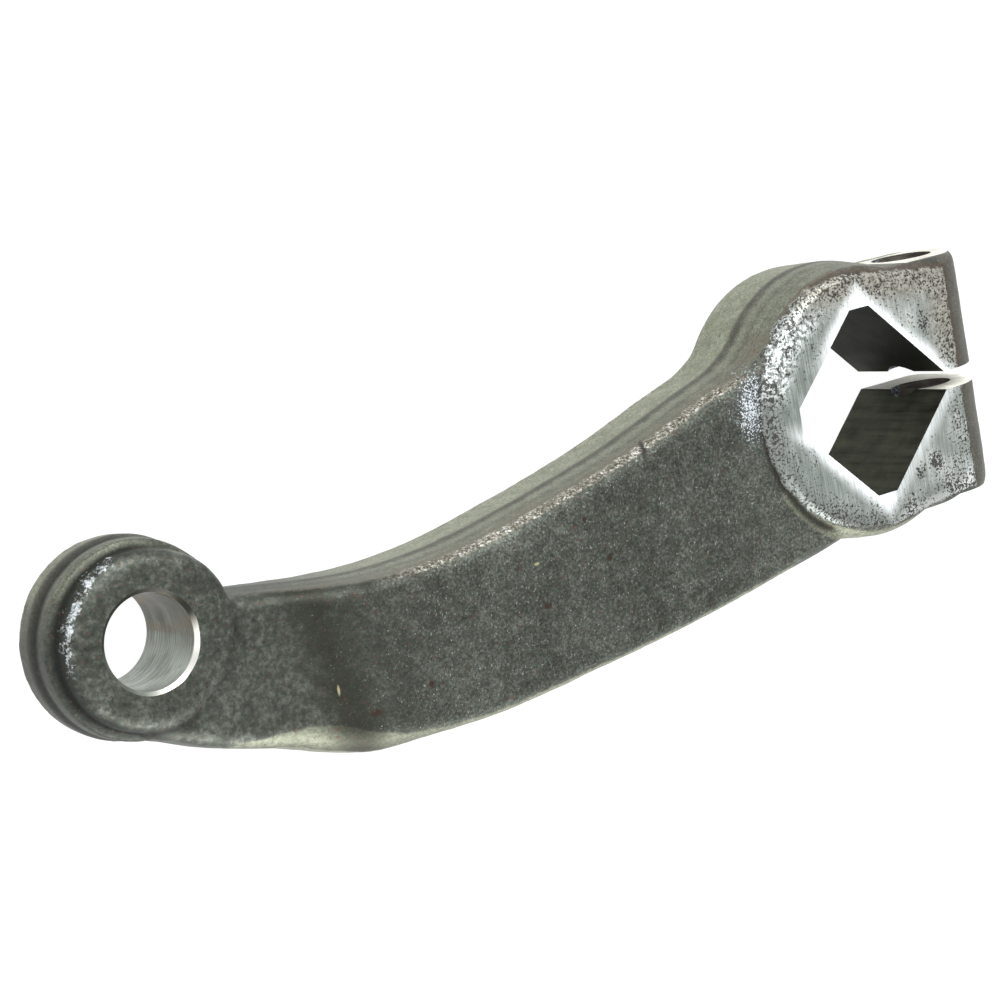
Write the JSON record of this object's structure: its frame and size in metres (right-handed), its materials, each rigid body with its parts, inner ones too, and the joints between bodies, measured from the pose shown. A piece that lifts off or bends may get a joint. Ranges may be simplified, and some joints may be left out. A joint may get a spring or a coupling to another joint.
{
  "type": "steering spindle arm",
  "caption": "Forged steel steering spindle arm: clamping hub with a square bore and slotted ears, a bowed bar, and a round tie rod eye.",
  "frame": {"origin": "centre of the box round the arm, on the plane of the rear faces of the hub and the eye", "axes": "+X from the eye to the clamping ears, +Y to the hollow side of the bow, +Z along the bores towards the front face of the hub"},
  "size_m": [0.2262, 0.0714, 0.028],
  "materials": {
    "forged_steel": "dark forging scale with a shot-blasted sparkle; hub face, bores, slot and seats machined bright, with scale pits and light rust"
  },
  "bodies": {
    "root": {"steering_arm": "forged_steel"}
  },
  "joints": []
}
